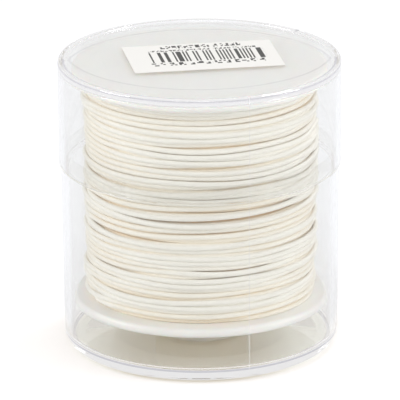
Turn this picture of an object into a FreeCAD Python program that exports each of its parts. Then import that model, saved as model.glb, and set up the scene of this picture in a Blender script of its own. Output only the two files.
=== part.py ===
"""A clear round box that holds a spool of cord.

Millimetres, +Z up, origin at the centre of the box's foot. The box is a cup whose neck
carries a deep lid. The spool stands on its hub in the cup and turns on the cup's post.
The spool sets the sizes of the box: each wall is one named clearance outside the last.
"""
import FreeCAD
import Part
import Sketcher

import math
import os

Vector = FreeCAD.Vector

# Driving dimensions: name, value and what it measures.
SIZES = [
    ("flange_radius", 27.1, "spool flange, outer edge"),
    ("flange_thickness", 2.0, "spool flange, at its rim"),
    ("flange_bevel", 0.5, "bevel of both edges of the flange's rim"),
    ("winding_width", 47.2, "between the two flanges"),
    ("barrel_radius", 13.0, "tube that the cord is wound on"),
    ("barrel_wall", 1.6, "wall of that tube"),
    ("bore_radius", 5.0, "hole through both flanges"),
    ("plug_wall", 1.5, "ring of the flange that plugs into the barrel"),
    ("plug_length", 4.0, "that ring, from the flange into the barrel"),
    ("plug_clearance", 0.05, "radial, plug ring to barrel"),
    ("winding_inset", 1.8, "from the flange's edge down to the cord"),
    ("cord_diameter", 2.1, "one modelled loop, which stands for two or three turns"),
    ("cord_gap", 0.45, "least gap between two modelled loops"),
    ("cord_end_bend", 2.6, "bend radius where the outer layer dives in"),
    ("layer_clearance", 0.1, "between cord and what it lies against"),
    ("side_clearance", 0.82, "radial, flange to the cup's wall"),
    ("neck_wall", 1.0, "wall of the cup's neck"),
    ("neck_height", 3.5, "neck, above the cup's shoulder"),
    ("neck_clearance", 0.08, "radial, neck to lid"),
    ("lid_wall", 1.0, "skirt of the lid"),
    ("lid_height", 22.6, "lid, from its lower edge to its rim"),
    ("lid_panel", 1.0, "thickness of the lid's panel"),
    ("lid_rim_height", 0.5, "rim, above the panel"),
    ("lid_rim_width", 1.4, "rim, across"),
    ("lid_bevel", 0.4, "bevel of the lid's outer top edge"),
    ("lid_headroom", 0.3, "spool to the underside of the panel"),
    ("notch_width", 2.1, "flow notch across the lid's rim"),
    ("notch_depth", 0.3, "flow notch, down from the rim"),
    ("notch_angle", 42.0, "flow notch, degrees from +X"),
    ("shoulder_step", 0.4, "radial, lid to the cup's shoulder"),
    ("foot_round", 2.7, "rounding of the cup's foot"),
    ("foot_ring_width", 2.0, "flat of the foot that the box stands on"),
    ("foot_ring_height", 1.2, "foot ring, below the floor"),
    ("floor_thickness", 1.4, "floor of the cup"),
    ("floor_bevel", 0.7, "bevel between the cup's floor and its wall"),
    ("mouth_bevel", 0.3, "lead-in at the cup's mouth and at the lid's lower edge"),
    ("spool_lift", 7.0, "floor to the underside of the spool"),
    ("post_clearance", 0.25, "radial, post to the spool's bore"),
    ("post_reach", 12.0, "post, above the underside of the spool"),
    ("post_wall", 2.85, "wall of the post round its narrow core"),
    ("post_tip", 1.4, "closed tip of the post"),
    ("post_chamfer", 0.8, "lead-in at the tip of the post"),
    ("hub_radius", 9.8, "outside of the hub that the spool stands on"),
    ("hub_wall", 1.5, "wall of that hub"),
    ("label_length", 32.0, "sticker"),
    ("label_width", 19.0, "sticker"),
    ("label_thickness", 0.12, "sticker"),
    ("label_x", 0.75, "centre of the sticker"),
    ("label_y", 2.6, "centre of the sticker"),
    ("label_angle", 9.5, "turn of the sticker, degrees from +X"),
]

# Sizes that follow from the driving ones, written once as expressions on the sheet.
FLOOR_TOP = "(Sizes.foot_ring_height + Sizes.floor_thickness)"
WALL_FOOT = f"({FLOOR_TOP} + Sizes.floor_bevel)"
SPOOL_BOTTOM = f"({FLOOR_TOP} + Sizes.spool_lift)"
WINDING_BOTTOM = f"({SPOOL_BOTTOM} + Sizes.flange_thickness)"
WINDING_TOP = f"({WINDING_BOTTOM} + Sizes.winding_width)"
SPOOL_TOP = f"({WINDING_TOP} + Sizes.flange_thickness)"
PANEL_BOTTOM = f"({SPOOL_TOP} + Sizes.lid_headroom)"
PANEL_TOP = f"({PANEL_BOTTOM} + Sizes.lid_panel)"
RIM_TOP = f"({PANEL_TOP} + Sizes.lid_rim_height)"
SHOULDER = f"({RIM_TOP} - Sizes.lid_height)"
NECK_TOP = f"({SHOULDER} + Sizes.neck_height)"

CAVITY = "(Sizes.flange_radius + Sizes.side_clearance)"
NECK_OUTER = f"({CAVITY} + Sizes.neck_wall)"
LID_INNER = f"({NECK_OUTER} + Sizes.neck_clearance)"
LID_OUTER = f"({LID_INNER} + Sizes.lid_wall)"
LID_RIM_INNER = f"({LID_OUTER} - Sizes.lid_rim_width)"
CUP_OUTER = f"({LID_OUTER} - Sizes.shoulder_step)"
FOOT_INNER = f"({CUP_OUTER} - Sizes.foot_round - Sizes.foot_ring_width)"

POST_OUTER = "(Sizes.bore_radius - Sizes.post_clearance)"
POST_CORE = f"({POST_OUTER} - Sizes.post_wall)"
POST_TOP = f"({SPOOL_BOTTOM} + Sizes.post_reach)"
HUB_INNER = "(Sizes.hub_radius - Sizes.hub_wall)"

BARREL_INNER = "(Sizes.barrel_radius - Sizes.barrel_wall)"
PLUG_OUTER = f"({BARREL_INNER} - Sizes.plug_clearance)"
PLUG_INNER = f"({PLUG_OUTER} - Sizes.plug_wall)"
WINDING_RADIUS = "(Sizes.flange_radius - Sizes.winding_inset)"
CORE_INNER = "(Sizes.barrel_radius + Sizes.layer_clearance)"
CORE_OUTER = f"({WINDING_RADIUS} - Sizes.cord_diameter - Sizes.layer_clearance)"

# How far the cutting tools run past the faces that they cut.
OVERRUN = 0.5

# Flats that draw the rounding of the cup's foot, few enough to keep the model light.
FOOT_FLATS = 3

# Sides of the modelled cord's section, and points measured round each of its loops.
CORD_SIDES = 4
POINTS_PER_LOOP = 72

doc = FreeCAD.newDocument("BoxedSpool")
sheet = doc.addObject("Spreadsheet::Sheet", "Sizes")
for row, (name, value, meaning) in enumerate(SIZES, start=1):
    sheet.set(f"A{row}", name)
    sheet.set(f"B{row}", str(value))
    sheet.set(f"C{row}", meaning)
    sheet.setAlias(f"B{row}", name)
doc.recompute()


def size(expression):
    """The number that an expression on the sheet gives."""
    return float(sheet.evalExpression(expression))


def origin(body, role):
    """A plane or axis of the body's own origin."""
    return next(item for item in body.Origin.OriginFeatures if item.Role == role)


def new_body(name):
    """An empty body, named after the piece that it holds."""
    body = doc.addObject("PartDesign::Body", name)
    body.Label = name
    return body


def outline(body, name, corners, plane="XZ_Plane"):
    """A closed sketch of straight sides whose corners are expressions on the sheet."""
    sketch = body.newObject("Sketcher::SketchObject", name)
    sketch.AttachmentSupport = [(origin(body, plane), "")]
    sketch.MapMode = "FlatFace"
    points = [Vector(size(across), size(up), 0) for across, up in corners]
    for index, point in enumerate(points):
        following = points[(index + 1) % len(points)]
        sketch.addGeometry(Part.LineSegment(point, following), False)
    for index in range(len(points)):
        following = (index + 1) % len(points)
        sketch.addConstraint(Sketcher.Constraint("Coincident", index, 2, following, 1))
    for index, (across, up) in enumerate(corners):
        for kind, text in (("DistanceX", across), ("DistanceY", up)):
            place = Sketcher.Constraint(kind, -1, 1, index, 1, size(text))
            number = sketch.addConstraint(place)
            sketch.setExpression(f"Constraints[{number}]", text)
    return sketch


def turned(body, name, corners, kind="PartDesign::Revolution"):
    """Material added, or with a Groove cut, all round the body's Z axis."""
    sketch = outline(body, f"{name}_outline", corners)
    doc.recompute()
    feature = body.newObject(kind, name)
    feature.Profile = sketch
    feature.ReferenceAxis = (origin(body, "Z_Axis"), [""])
    feature.Angle = 360
    body.Tip = feature
    doc.recompute()
    return feature


def foot_corners():
    """The rounding of the cup's foot, from the flat that it stands on to its wall."""
    corners = []
    for flat in range(FOOT_FLATS + 1):
        turn = f"{90 * flat / FOOT_FLATS:g} deg"
        corners.append((
            f"{CUP_OUTER} - Sizes.foot_round * (1 - sin({turn}))",
            f"Sizes.foot_round * (1 - cos({turn}))",
        ))
    return corners


def circles(feature, radius, height):
    """Names of the feature's circular edges of that radius at that height."""
    names = []
    for number, edge in enumerate(feature.Shape.Edges, start=1):
        curve = edge.Curve
        if curve.TypeId != "Part::GeomCircle":
            continue
        wanted = (size(radius), size(height))
        if max(abs(curve.Radius - wanted[0]), abs(curve.Center.z - wanted[1])) < 1e-4:
            names.append(f"Edge{number}")
    return names


def bevelled(body, name, places, width):
    """Bevel the circular edges at the given radii and heights."""
    base = body.Tip
    edges = [edge for place in places for edge in circles(base, *place)]
    chamfer = body.newObject("PartDesign::Chamfer", name)
    chamfer.Base = (base, edges)
    chamfer.setExpression("Size", width)
    body.Tip = chamfer
    doc.recompute()


def make_box_base():
    """The bottom of the cup: foot ring, floor and post. The wall stands on its edge."""
    body = new_body("box_base")
    turned(body, "cup", [
        ("0", "Sizes.foot_ring_height"),
        (FOOT_INNER, "Sizes.foot_ring_height"),
        (FOOT_INNER, "0"),
        *foot_corners(),
        (CUP_OUTER, WALL_FOOT),
        (CAVITY, WALL_FOOT),
        (f"{CAVITY} - Sizes.floor_bevel", FLOOR_TOP),
        ("0", FLOOR_TOP),
    ])
    turned(body, "post", [
        ("0", "Sizes.foot_ring_height"),
        (POST_OUTER, "Sizes.foot_ring_height"),
        (POST_OUTER, f"{POST_TOP} - Sizes.post_chamfer"),
        (f"{POST_OUTER} - Sizes.post_chamfer", POST_TOP),
        ("0", POST_TOP),
    ])
    turned(body, "post_core", [
        ("0", "0"),
        (POST_CORE, "0"),
        (POST_CORE, f"{POST_TOP} - Sizes.post_tip"),
        ("0", f"{POST_TOP} - Sizes.post_tip"),
    ], "PartDesign::Groove")
    return body


def make_box_wall():
    """The cup's wall with its shoulder and neck, one moulding with the base on the real box."""
    body = new_body("box_wall")
    turned(body, "wall", [
        (CAVITY, WALL_FOOT),
        (CUP_OUTER, WALL_FOOT),
        (CUP_OUTER, SHOULDER),
        (NECK_OUTER, SHOULDER),
        (NECK_OUTER, NECK_TOP),
        (CAVITY, NECK_TOP),
    ])
    bevelled(body, "mouth_edge", [(NECK_OUTER, NECK_TOP)], "Sizes.mouth_bevel")
    return body


def make_box_lid():
    """The lid's top: a panel sunk below its rim, with one flow notch. The skirt hangs from it."""
    body = new_body("box_lid")
    turned(body, "top", [
        ("0", PANEL_BOTTOM),
        (LID_OUTER, PANEL_BOTTOM),
        (LID_OUTER, RIM_TOP),
        (LID_RIM_INNER, RIM_TOP),
        (LID_RIM_INNER, PANEL_TOP),
        ("0", PANEL_TOP),
    ])
    bevelled(body, "top_edge", [(LID_OUTER, RIM_TOP)], "Sizes.lid_bevel")
    cut_rim_notch(body)
    return body


def make_lid_skirt():
    """The lid's deep skirt, one moulding with the top on the real box."""
    body = new_body("box_lid_skirt")
    turned(body, "skirt", [
        (LID_INNER, SHOULDER),
        (LID_OUTER, SHOULDER),
        (LID_OUTER, PANEL_BOTTOM),
        (LID_INNER, PANEL_BOTTOM),
    ])
    bevelled(body, "lead_in", [(LID_INNER, SHOULDER)], "Sizes.mouth_bevel")
    return body


def cut_rim_notch(body):
    """The shallow notch that the mould's gate left across the lid's rim."""
    side = "Sizes.notch_width / 2"
    sketch = outline(body, "notch_outline", [
        (f"{LID_RIM_INNER} - {OVERRUN}", f"-{side}"),
        (f"{LID_OUTER} + {OVERRUN}", f"-{side}"),
        (f"{LID_OUTER} + {OVERRUN}", side),
        (f"{LID_RIM_INNER} - {OVERRUN}", side),
    ], "XY_Plane")
    sketch.AttachmentOffset = FreeCAD.Placement(
        Vector(0, 0, size(RIM_TOP)), FreeCAD.Rotation(Vector(0, 0, 1), size("Sizes.notch_angle"))
    )
    sketch.setExpression("AttachmentOffset.Base.z", RIM_TOP)
    sketch.setExpression("AttachmentOffset.Rotation.Angle", "Sizes.notch_angle * 1 deg")
    doc.recompute()
    notch = body.newObject("PartDesign::Pocket", "notch")
    notch.Profile = sketch
    notch.setExpression("Length", "Sizes.notch_depth")
    body.Tip = notch
    doc.recompute()


def make_label():
    """The paper sticker, flat on the lid's panel."""
    label = doc.addObject("Part::Box", "product_label")
    label.setExpression("Length", "Sizes.label_length")
    label.setExpression("Width", "Sizes.label_width")
    label.setExpression("Height", "Sizes.label_thickness")
    turn = FreeCAD.Rotation(Vector(0, 0, 1), size("Sizes.label_angle"))
    label.Placement = FreeCAD.Placement(Vector(0, 0, 0), turn)
    # The box's corner, half a length and half a width back from the centre.
    cosine = "cos(Sizes.label_angle * 1 deg)"
    sine = "sin(Sizes.label_angle * 1 deg)"
    length, width = "Sizes.label_length / 2", "Sizes.label_width / 2"
    label.setExpression(
        "Placement.Base.x", f"Sizes.label_x - {length} * {cosine} + {width} * {sine}"
    )
    label.setExpression(
        "Placement.Base.y", f"Sizes.label_y - {length} * {sine} - {width} * {cosine}"
    )
    label.setExpression("Placement.Base.z", PANEL_TOP)
    return label


def make_flange(name, base, turned_over):
    """One flange, its outer face at its own zero and its plug ring along its own +Z."""
    body = new_body(name)
    rim = "Sizes.flange_thickness"
    turned(body, "disc", [
        ("Sizes.bore_radius", "0"),
        ("Sizes.flange_radius", "0"),
        ("Sizes.flange_radius", rim),
        (PLUG_OUTER, rim),
        (PLUG_OUTER, f"{rim} + Sizes.plug_length"),
        (PLUG_INNER, f"{rim} + Sizes.plug_length"),
        (PLUG_INNER, rim),
        ("Sizes.bore_radius", rim),
    ])
    both_edges = [("Sizes.flange_radius", "0"), ("Sizes.flange_radius", rim)]
    bevelled(body, "rim_edges", both_edges, "Sizes.flange_bevel")
    flip = FreeCAD.Rotation(Vector(1, 0, 0), 180 if turned_over else 0)
    body.Placement = FreeCAD.Placement(Vector(0, 0, size(base)), flip)
    body.setExpression("Placement.Base.z", base)
    return body


def make_lower_flange():
    """The lower flange. Its hub stands on the floor of the cup and carries the whole spool."""
    body = make_flange("spool_lower_flange", SPOOL_BOTTOM, False)
    turned(body, "hub", [
        (HUB_INNER, "-Sizes.spool_lift"),
        ("Sizes.hub_radius", "-Sizes.spool_lift"),
        ("Sizes.hub_radius", "Sizes.flange_thickness / 2"),
        (HUB_INNER, "Sizes.flange_thickness / 2"),
    ])
    return body


def make_tube(name, inner, outer, bottom, height):
    """A straight tube about Z, as one cylinder cut out of another."""
    wall = doc.addObject("Part::Cylinder", f"{name}_wall")
    hole = doc.addObject("Part::Cylinder", f"{name}_hole")
    for cylinder, radius in ((wall, outer), (hole, inner)):
        cylinder.setExpression("Radius", radius)
        cylinder.setExpression("Height", height)
        cylinder.setExpression("Placement.Base.z", bottom)
    tube = doc.addObject("Part::Cut", name)
    tube.Base = wall
    tube.Tool = hole
    return tube


def winding_course():
    """The outer layer's centreline: radius, end angles in degrees and end heights.

    The layer starts low at the back and ends high at the front right, after as many
    half turns as fit between the flanges.
    """
    half = size("Sizes.cord_diameter") / 2
    clear = size("Sizes.layer_clearance")
    low = size(WINDING_BOTTOM) + half + clear
    high = size(WINDING_TOP) - half - clear
    pitch = size("Sizes.cord_diameter + Sizes.cord_gap")
    half_turns = math.floor(2 * (high - low) / pitch)
    radius = size(WINDING_RADIUS) - half
    end_angle = -24.0
    start_angle = end_angle - 180.0 * half_turns
    return radius, start_angle, end_angle, low, high, half_turns


def on_winding(angle, height, radius):
    """A point on the cylinder of that radius, at an angle in degrees."""
    turn = math.radians(angle)
    return Vector(radius * math.cos(turn), radius * math.sin(turn), height)


def arc_from(start, corner, end):
    """The arc that touches start-corner at its start and corner-end at its end."""
    incoming = corner - start
    outgoing = end - corner
    half_turn = incoming.getAngle(outgoing) / 2
    chord_middle = (start + end) * 0.5
    radius = incoming.Length / math.tan(half_turn)
    rise = radius * (1 - math.cos(half_turn))
    towards = (corner - chord_middle).normalize()
    return Part.Arc(start, chord_middle + towards * rise, end).toShape()


def biarc(start, start_way, end, end_way):
    """Two arcs that join start to end and leave along the given unit directions."""
    chord = end - start
    ways = start_way + end_way
    square = ways.dot(ways) - 4
    linear = -2 * chord.dot(ways)
    constant = chord.dot(chord)
    root = math.sqrt(linear * linear - 4 * square * constant)
    reach = (-linear - root) / (2 * square)
    first = start + start_way * reach
    second = end - end_way * reach
    middle = (first + second) * 0.5
    return [arc_from(start, first, middle), arc_from(middle, second, end)]


def winding_path():
    """The centreline's edges: a straight end, a bend, the turns, a bend, a straight end."""
    radius, start_angle, end_angle, low, high, half_turns = winding_course()
    climb = (high - low) / half_turns
    slope = climb / (math.pi * radius)
    bend = size("Sizes.cord_end_bend")
    straight = size("Sizes.cord_diameter")

    def way(angle):
        turn = math.radians(angle)
        return Vector(-math.sin(turn), math.cos(turn), slope).normalize()

    start = on_winding(start_angle, low, radius)
    end = on_winding(end_angle, high, radius)
    outward = on_winding(start_angle, 0, 1)
    inward = on_winding(end_angle, 0, -1)
    bend_in = start - (way(start_angle) + outward) * bend
    bend_out = end + (way(end_angle) + inward) * bend

    first = bend_in - outward * straight
    last = bend_out + inward * straight
    edges = [Part.LineSegment(first, bend_in).toShape()]
    edges.append(arc_from(bend_in, bend_in + outward * bend, start))
    here, angle, height = start, start_angle, low
    for _ in range(half_turns):
        angle += 180.0
        height += climb
        there = on_winding(angle, height, radius)
        edges += biarc(here, way(angle - 180.0), there, way(angle))
        here = there
    edges.append(arc_from(end, end + way(end_angle) * bend, bend_out))
    edges.append(Part.LineSegment(bend_out, last).toShape())
    return edges, outward


def make_cord_core():
    """The inner layers as one plain ring, with a pocket where each cord end dives in."""
    ring = make_tube("core_ring", CORE_INNER, CORE_OUTER, WINDING_BOTTOM, "Sizes.winding_width")
    radius, start_angle, end_angle, low, high, _ = winding_course()
    bend = size("Sizes.cord_end_bend")
    diameter = size("Sizes.cord_diameter")
    clear = size("Sizes.layer_clearance")
    depth = radius - bend - diameter
    width = bend + diameter / 2 + 2 * clear
    pockets = []
    for name, angle, height, side in (
        ("start_pocket", start_angle, low, -width),
        ("end_pocket", end_angle, high, 0),
    ):
        pocket = doc.addObject("Part::Box", name)
        pocket.Length = radius - depth
        pocket.Width = width
        pocket.Height = diameter + 2 * clear
        turn = FreeCAD.Rotation(Vector(0, 0, 1), angle)
        corner = Vector(depth, side, height - diameter / 2 - clear)
        pocket.Placement = FreeCAD.Placement(turn.multVec(corner), turn)
        pockets.append(pocket)
    both = doc.addObject("Part::Fuse", "pockets")
    both.Base, both.Tool = pockets
    core = doc.addObject("Part::Cut", "cord_inner_layers")
    core.Base = ring
    core.Tool = both
    return core


def make_cord_layer():
    """The outer layer: one unbroken tube that winds from flange to flange."""
    edges, outward = winding_path()
    path = Part.Wire(edges)
    start = path.OrderedVertexes[0].Point
    half = size("Sizes.cord_diameter") / 2
    sideways = Vector(0, 0, 1).cross(outward)
    corners = []
    for side in range(CORD_SIDES + 1):
        turn = 2 * math.pi * side / CORD_SIDES
        corners.append(start + sideways * half * math.cos(turn) + Vector(0, 0, half * math.sin(turn)))
    section = Part.makePolygon(corners)
    layer = doc.addObject("Part::Feature", "cord_outer_layer")
    layer.Shape = path.makePipeShell([section], True, False)

    area = CORD_SIDES / 2 * half * half * math.sin(2 * math.pi / CORD_SIDES)
    print(f"outer layer: {len(edges)} edges, length {path.Length:.1f} mm")
    print(f"outer layer: volume {layer.Shape.Volume:.1f}, section by length {area * path.Length:.1f}")
    return layer


def least_gap():
    """The least gap between loops of the outer layer, measured on points."""
    radius, start_angle, end_angle, low, high, half_turns = winding_course()
    count = half_turns * POINTS_PER_LOOP // 2
    points = []
    for step in range(count + 1):
        share = step / count
        angle = start_angle + share * (end_angle - start_angle)
        points.append(on_winding(angle, low + share * (high - low), radius))
    nearest = min(
        (points[index] - points[other]).Length
        for index in range(len(points))
        for other in range(index + POINTS_PER_LOOP // 2, min(index + 2 * POINTS_PER_LOOP, len(points)))
    )
    return nearest - size("Sizes.cord_diameter")


parts = [
    make_box_base(),
    make_box_wall(),
    make_box_lid(),
    make_lid_skirt(),
    make_label(),
    make_lower_flange(),
    make_flange("spool_upper_flange", SPOOL_TOP, True),
    make_tube(
        "spool_barrel", BARREL_INNER, "Sizes.barrel_radius", WINDING_BOTTOM, "Sizes.winding_width"
    ),
    make_cord_core(),
    make_cord_layer(),
]
doc.recompute()
print(f"outer layer: least gap to itself {least_gap():.2f} mm")

for item in doc.Objects:
    if "Invalid" in item.State or "Error" in item.State:
        raise RuntimeError(f"{item.Label} failed: {item.State}")
for part in parts:
    if part.Shape.isNull() or not part.Shape.isValid():
        raise RuntimeError(f"{part.Label} has no valid shape")

os.makedirs("parts", exist_ok=True)
for part in parts:
    part.Shape.exportStep(f"parts/{part.Label}.step")
    box = part.Shape.BoundBox
    print(
        f"{part.Label}: {len(part.Shape.Solids)} solid, {part.Shape.Volume:.1f} mm3, "
        f"z {box.ZMin:.2f} to {box.ZMax:.2f}, r {box.XMax:.2f}"
    )
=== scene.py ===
# %% [markdown]
# # A boxed spool of cord
# A clear round box holds a white plastic spool, and cream cord is wound on the spool. The
# lesson builds the box, the spool's flanges, the winding and the sticker on the lid as
# separate pieces, in metres. Each takes the place of a plain solid of the CAD model. The
# spool's barrel keeps its own solid and only gets a finish.

# %% The frame
import math

import bmesh
import bpy
import numpy as np
from mathutils import Matrix, Vector


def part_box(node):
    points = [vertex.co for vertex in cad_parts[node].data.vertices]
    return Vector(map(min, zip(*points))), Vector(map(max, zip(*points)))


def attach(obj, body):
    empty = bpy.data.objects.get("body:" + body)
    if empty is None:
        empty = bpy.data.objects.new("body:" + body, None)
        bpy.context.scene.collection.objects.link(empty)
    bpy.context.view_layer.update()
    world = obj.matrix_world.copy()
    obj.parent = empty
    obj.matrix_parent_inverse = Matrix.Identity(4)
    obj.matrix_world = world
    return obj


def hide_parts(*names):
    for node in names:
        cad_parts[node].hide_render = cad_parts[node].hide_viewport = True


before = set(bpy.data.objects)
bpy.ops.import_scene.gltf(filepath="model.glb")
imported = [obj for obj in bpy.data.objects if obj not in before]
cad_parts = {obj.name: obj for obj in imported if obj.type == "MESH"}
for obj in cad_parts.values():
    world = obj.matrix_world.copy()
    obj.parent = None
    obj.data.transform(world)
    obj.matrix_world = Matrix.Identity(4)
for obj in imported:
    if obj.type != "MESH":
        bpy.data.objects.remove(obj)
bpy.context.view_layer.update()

MM = 0.001

# %% [markdown]
# ## The camera
# A product photographer stands far back with a long lens, so that a box looks almost free
# of perspective. The camera could be placed by raw coordinates and turns. Its distance, its
# height angle and the point that it looks at are easier to reason about, so its matrix is
# built from those and a slight roll. A look through the box crosses many clear surfaces, so
# light may also bounce more often than usual.

# %% The camera
CAMERA_DISTANCE = 956 * MM
CAMERA_ELEVATION = math.radians(18.76)
CAMERA_ROLL = math.radians(0.376)
CAMERA_TARGET = Vector((-0.07 * MM, 0, 30.9 * MM))
LENS_LENGTH, SENSOR_WIDTH = 403.1, 36
CLEAR_BOUNCES, DIFFUSE_BOUNCES = 32, 12

forward = Vector((0, math.cos(CAMERA_ELEVATION), -math.sin(CAMERA_ELEVATION)))
level_up = Vector((0, math.sin(CAMERA_ELEVATION), math.cos(CAMERA_ELEVATION)))
level_right = Vector((1, 0, 0))
right = level_right * math.cos(CAMERA_ROLL) - level_up * math.sin(CAMERA_ROLL)
up = level_right * math.sin(CAMERA_ROLL) + level_up * math.cos(CAMERA_ROLL)

camera_data = bpy.data.cameras.new("camera")
camera_data.sensor_width = SENSOR_WIDTH
camera_data.lens = LENS_LENGTH
camera_data.clip_start = 0.05
camera_data.clip_end = 20
camera = bpy.data.objects.new("camera", camera_data)
camera.matrix_world = (
    Matrix.Translation(CAMERA_TARGET - forward * CAMERA_DISTANCE)
    @ Matrix((right, up, -forward)).transposed().to_4x4()
)
bpy.context.scene.collection.objects.link(camera)
bpy.context.scene.camera = camera
bpy.context.scene.view_settings.view_transform = "Standard"
bpy.context.scene.cycles.max_bounces = CLEAR_BOUNCES
bpy.context.scene.cycles.transmission_bounces = CLEAR_BOUNCES
bpy.context.scene.cycles.glossy_bounces = CLEAR_BOUNCES
bpy.context.scene.cycles.diffuse_bounces = DIFFUSE_BOUNCES
print("camera at", tuple(round(value, 3) for value in camera.location))

# %% [markdown]
# ## Node helpers
# A material is a network of nodes, and a mask in it is a value that is 1 where something
# shows and 0 elsewhere. Nodes could be made and linked one line at a time. These helpers
# each make one node or one small step, so that a material reads like a sum.

# %% Node helpers
def add_node(tree, kind, settings=None, **sockets):
    """A node with its sockets set or linked, each by its name, or by its number as in _0."""
    node = tree.nodes.new(kind)
    for name, value in (settings or {}).items():
        setattr(node, name, value)
    for name, value in sockets.items():
        socket = node.inputs[int(name[1:]) if name[0] == "_" else name.replace("_", " ")]
        if isinstance(value, bpy.types.NodeSocket):
            tree.links.new(value, socket)
        else:
            socket.default_value = value
    return node


def math_node(tree, operation, *values):
    sockets = {f"_{index}": value for index, value in enumerate(values)}
    return add_node(tree, "ShaderNodeMath", {"operation": operation}, **sockets).outputs[0]


def above(tree, value, limit):
    return math_node(tree, "GREATER_THAN", value, limit)


def below(tree, value, limit):
    return math_node(tree, "LESS_THAN", value, limit)


def times(tree, first, *others):
    for other in others:
        first = math_node(tree, "MULTIPLY", first, other)
    return first


def most(tree, first, *others):
    for other in others:
        first = math_node(tree, "MAXIMUM", first, other)
    return first


def rest_of(tree, share):
    return math_node(tree, "SUBTRACT", 1.0, share)


def between(tree, value, low, high):
    return times(tree, above(tree, value, low), below(tree, value, high))


def smooth_step(tree, value, low, high, start=0.0, end=1.0):
    """Goes softly from start to end while the value goes from low to high."""
    node = add_node(tree, "ShaderNodeMapRange", {"interpolation_type": "SMOOTHSTEP"}, Value=value,
                    From_Min=low, From_Max=high, To_Min=start, To_Max=end)
    return node.outputs[0]


def blend_colours(tree, share, first, second):
    """The first colour at share 0, the second at 1. The Mix node has these sockets by number."""
    node = add_node(tree, "ShaderNodeMix", {"data_type": "RGBA"}, _0=share, _6=first, _7=second)
    return node.outputs[2]


def stained(tree, colour, mask, share, stain):
    """The colour, with that share of the stain over it where the mask is 1."""
    return blend_colours(tree, times(tree, mask, share), colour, stain)


def empty_material(name):
    material = bpy.data.materials.new(name)
    material.use_nodes = True
    material.node_tree.nodes.clear()
    output = material.node_tree.nodes.new("ShaderNodeOutputMaterial")
    return material, material.node_tree, output


# %% [markdown]
# The pieces are round, so most places on them are easiest to name by a distance from the
# axis or by a direction seen from above. A Light Path node tells what kind of ray asks for
# the colour, which lets the background differ from the light that falls on the object.

# %% Places and rays
def from_axis(tree, x, y):
    flat = add_node(tree, "ShaderNodeCombineXYZ", X=x, Y=y)
    length = add_node(tree, "ShaderNodeVectorMath", {"operation": "LENGTH"}, Vector=flat.outputs[0])
    return length.outputs["Value"]


def ahead_of(tree, spot, angle):
    """How far a spot lies out from the axis in the direction of the angle."""
    return math_node(tree, "ADD", times(tree, spot.outputs[0], math.cos(angle)),
                     times(tree, spot.outputs[1], math.sin(angle)))


def beside(tree, spot, angle):
    """How far a spot lies to either side of the line in the direction of the angle."""
    apart = math_node(tree, "SUBTRACT", times(tree, spot.outputs[1], math.cos(angle)),
                      times(tree, spot.outputs[0], math.sin(angle)))
    return math_node(tree, "ABSOLUTE", apart)


def ray_seen_directly(tree):
    """1 for rays that show what is behind: from the camera, a reflection or through glass."""
    path = add_node(tree, "ShaderNodeLightPath")
    return most(tree, path.outputs["Is Camera Ray"], path.outputs["Is Glossy Ray"],
                path.outputs["Is Transmission Ray"])


# %% [markdown]
# ## Floor and surroundings
# The box stands on white card that runs out of view. Enough light to make the card paper
# white would burn out the pale box. So the card only takes the shadow, and has some light of
# its own that just the looking rays see.
#
# That light has three parts. Under the box it is weak and warm, painted shade like the shade
# seen through the cup's floor, and it grows towards the sides, painted light where side light
# reaches under the spool. From the foot ring outwards it brings the card to white, and close
# around the box it is lifted further, painted light that takes out the box's shadow there.
# For rays that have come through the plastic it is lower beyond the foot, painted shade that
# makes the walls look faintly grey.

# %% The floor
FLOOR_HALF, FLOOR_BELOW = 3.0, 0.00003
CARD_SEEN = (0.61, 0.65, 0.73, 1), (0.63, 0.67, 0.75, 1)
CARD_BOUNCE = (0.86, 0.855, 0.83, 1)
# Painted shade under the box, warm, and painted light towards its sides:
PAINTED_SHADE_GLOW = (0.285, 0.215, 0.09, 1)
PAINTED_SIDE_LIGHT = (0.56, 0.53, 0.42, 1)
OPEN_GLOW = (0.38, 0.34, 0.29, 1)
SHADE_MIDDLE, SHADE_TO_SIDE = -2 * MM, (9 * MM, 27 * MM)
SHADE_TO_OPEN = (26.5 * MM, 29.2 * MM)
# Painted light around the foot that takes out the box's shadow, and painted shade that greys what is
# seen through the walls:
PAINTED_SHADOW_LIFT, PAINTED_LIFT_FADES = 0.36, (40 * MM, 100 * MM)
PAINTED_WALL_SHADE, LOSS_BEGINS = 0.24, (29 * MM, 40 * MM)

corners = [(-FLOOR_HALF, -FLOOR_HALF), (FLOOR_HALF, -FLOOR_HALF),
           (FLOOR_HALF, FLOOR_HALF), (-FLOOR_HALF, FLOOR_HALF)]
floor_mesh = bpy.data.meshes.new("floor")
floor_mesh.from_pydata([(x, y, -FLOOR_BELOW) for x, y in corners], [], [(0, 1, 2, 3)])
floor = bpy.data.objects.new("floor", floor_mesh)
bpy.context.scene.collection.objects.link(floor)

floor_card, tree, output = empty_material("floor_card")
path = add_node(tree, "ShaderNodeLightPath")
fibre = add_node(tree, "ShaderNodeTexNoise", Scale=900.0, Detail=3.0)
seen_colour = blend_colours(tree, fibre.outputs[0], *CARD_SEEN)
card_colour = blend_colours(tree, path.outputs["Is Diffuse Ray"], seen_colour, CARD_BOUNCE)
card = add_node(tree, "ShaderNodeBsdfDiffuse", Color=card_colour)

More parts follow.
